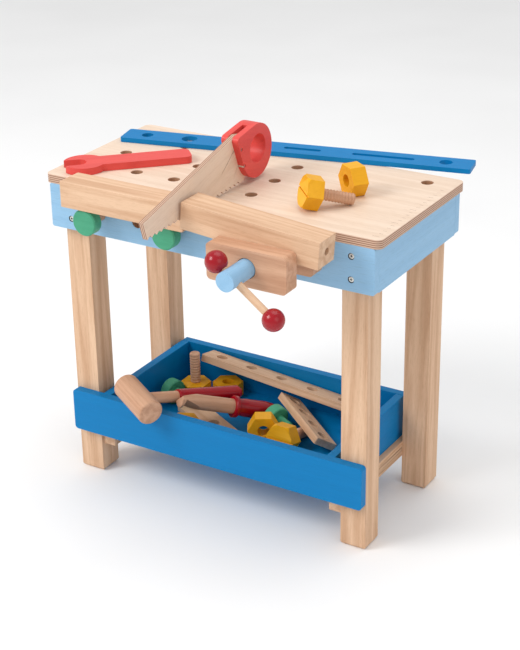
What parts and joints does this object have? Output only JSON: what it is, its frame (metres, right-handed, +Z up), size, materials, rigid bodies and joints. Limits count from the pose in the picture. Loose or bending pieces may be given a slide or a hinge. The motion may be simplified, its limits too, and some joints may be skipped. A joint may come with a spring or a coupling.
{
  "type": "toy workbench",
  "caption": "Wooden toy workbench with a peg-hole top, a front vice that opens with its turned screw, a tool tray, and loose wooden tools, timbers, bolts and nuts.",
  "frame": {"origin": "on the floor, below the middle of the box around the bench and everything on it", "axes": "+X to the right along the worktop, +Y to the back (the vice and the timbers are at the front, -Y), +Z up"},
  "size_m": [0.5, 0.4374, 0.5217],
  "materials": {
    "plywood": "satin",
    "pine": "matte",
    "beech": "satin",
    "sky_paint": "satin",
    "blue_paint": "satin",
    "coral_paint": "satin",
    "red_paint": "gloss",
    "green_paint": "satin",
    "yellow_paint": "satin",
    "steel": "satin"
  },
  "bodies": {
    "bench": {"worktop": "plywood", "panel_front": "sky_paint", "panel_rear": "sky_paint", "panel_left": "sky_paint", "panel_right": "sky_paint", "leg_front_left": "pine", "leg_front_right": "pine", "leg_rear_left": "pine", "leg_rear_right": "pine", "bearer_left": "pine", "bearer_right": "pine", "tray_front": "blue_paint", "tray_rear": "blue_paint", "tray_left": "blue_paint", "tray_right": "blue_paint", "tray_floor": "blue_paint", "screws_front": "steel", "screws_rear": "steel", "screws_bearer": "steel", "dowels": "beech", "jaw_fixed": "beech", "nut_block": "beech"},
    "jaw": {"jaw_moving": "beech", "guide_pins": "beech"},
    "screw": {"vice_screw": "sky_paint", "vice_collar": "beech"},
    "tommy": {"tommy_bar": "pine", "tommy_balls": "red_paint"},
    "peg_left": {"peg_left_head": "green_paint", "peg_left_stem": "beech"},
    "peg_right": {"peg_right_head": "green_paint", "peg_right_stem": "beech"},
    "timber_left": {"timber_left": "pine"},
    "timber_right": {"timber_right": "pine"},
    "saw": {"saw_blade": "plywood", "saw_handle": "coral_paint", "saw_rivets": "steel"},
    "spanner": {"spanner": "coral_paint"},
    "ruler": {"ruler": "blue_paint"},
    "bolt_top": {"bolt_top_head": "yellow_paint", "bolt_top_shank": "beech"},
    "nut_top": {"nut_top": "yellow_paint"},
    "hammer": {"hammer_head": "beech", "hammer_shaft": "beech", "hammer_grip": "red_paint"},
    "driver": {"driver_shaft": "beech", "driver_handle": "red_paint"},
    "bolt_tall": {"bolt_tall_head": "yellow_paint", "bolt_tall_shank": "beech"},
    "nut_flat": {"nut_flat": "yellow_paint"},
    "nut_lean": {"nut_lean": "yellow_paint"},
    "bolt_low": {"bolt_low_head": "yellow_paint", "bolt_low_shank": "beech"},
    "nut_front": {"nut_front": "yellow_paint"},
    "tray_peg_a": {"tray_peg_a": "green_paint"},
    "tray_peg_b": {"tray_peg_b": "green_paint"},
    "bar_long": {"bar_long": "pine"},
    "bar_short": {"bar_short": "pine"},
    "plank": {"plank": "pine"}
  },
  "joints": [
    {"name": "vice_slide", "type": "slide", "parent": "bench", "child": "jaw", "axis": [0, -1, 0], "range_m": [0, 0.0241]},
    {"name": "vice_turn", "type": "hinge", "parent": "jaw", "child": "screw", "pos_m": [0.115, -0.17016, 0.414], "axis": [0, -1, 0], "range_deg": [0, 1080]},
    {"name": "tommy_slide", "type": "slide", "parent": "screw", "child": "tommy", "axis": [-0.7997, 0, 0.6004], "range_m": [0, 0.043]},
    {"name": "peg_left_pull", "type": "slide", "parent": "bench", "child": "peg_left", "axis": [0, -1, 0], "range_m": [0, 0.04]},
    {"name": "peg_right_pull", "type": "slide", "parent": "bench", "child": "peg_right", "axis": [0, -1, 0], "range_m": [0, 0.045]},
    {"name": "timber_left_lift", "type": "slide", "parent": "bench", "child": "timber_left", "axis": [0, 0, 1], "range_m": [0, 0.08]},
    {"name": "timber_right_lift", "type": "slide", "parent": "bench", "child": "timber_right", "axis": [0, 0, 1], "range_m": [0, 0.08]},
    {"name": "saw_lift", "type": "slide", "parent": "bench", "child": "saw", "axis": [0, 0, 1], "range_m": [0, 0.08]},
    {"name": "spanner_lift", "type": "slide", "parent": "bench", "child": "spanner", "axis": [0, 0, 1], "range_m": [0, 0.08]},
    {"name": "ruler_lift", "type": "slide", "parent": "bench", "child": "ruler", "axis": [0, 0, 1], "range_m": [0, 0.08]},
    {"name": "bolt_top_lift", "type": "slide", "parent": "bench", "child": "bolt_top", "axis": [0, 0, 1], "range_m": [0, 0.08]},
    {"name": "nut_top_lift", "type": "slide", "parent": "bench", "child": "nut_top", "axis": [0, 0, 1], "range_m": [0, 0.08]},
    {"name": "plank_lift", "type": "slide", "parent": "bench", "child": "plank", "axis": [0, 0, 1], "range_m": [0, 0.008]},
    {"name": "hammer_lift", "type": "slide", "parent": "bench", "child": "hammer", "axis": [0, 0, 1], "range_m": [0, 0.08]},
    {"name": "driver_lift", "type": "slide", "parent": "hammer", "child": "driver", "axis": [0, 0, 1], "range_m": [0, 0.05]},
    {"name": "bar_short_lift", "type": "slide", "parent": "driver", "child": "bar_short", "axis": [0, 0, 1], "range_m": [0, 0.05]},
    {"name": "bar_long_lift", "type": "slide", "parent": "bar_short", "child": "bar_long", "axis": [0, 0, 1], "range_m": [0, 0.05]},
    {"name": "nut_lean_lift", "type": "slide", "parent": "bench", "child": "nut_lean", "axis": [0, 0, 1], "range_m": [0, 0.03]},
    {"name": "bolt_low_lift", "type": "slide", "parent": "bench", "child": "bolt_low", "axis": [0, 0, 1], "range_m": [0, 0.001]},
    {"name": "nut_front_lift", "type": "slide", "parent": "bench", "child": "nut_front", "axis": [0, 0, 1], "range_m": [0, 0.02]},
    {"name": "bolt_tall_lift", "type": "slide", "parent": "bench", "child": "bolt_tall", "axis": [0, 0, 1], "range_m": [0, 0.012]},
    {"name": "nut_flat_lift", "type": "slide", "parent": "bench", "child": "nut_flat", "axis": [0, 0, 1], "range_m": [0, 0.01]},
    {"name": "tray_peg_a_lift", "type": "slide", "parent": "plank", "child": "tray_peg_a", "axis": [0, 0, 1], "range_m": [0, 0.03]},
    {"name": "tray_peg_b_lift", "type": "slide", "parent": "bench", "child": "tray_peg_b", "axis": [0, 0, 1], "range_m": [0, 0.001]}
  ],
  "couplings": [
    {"joint": "vice_slide", "follows": "vice_turn", "m_per_rad": 0.0012732}
  ]
}
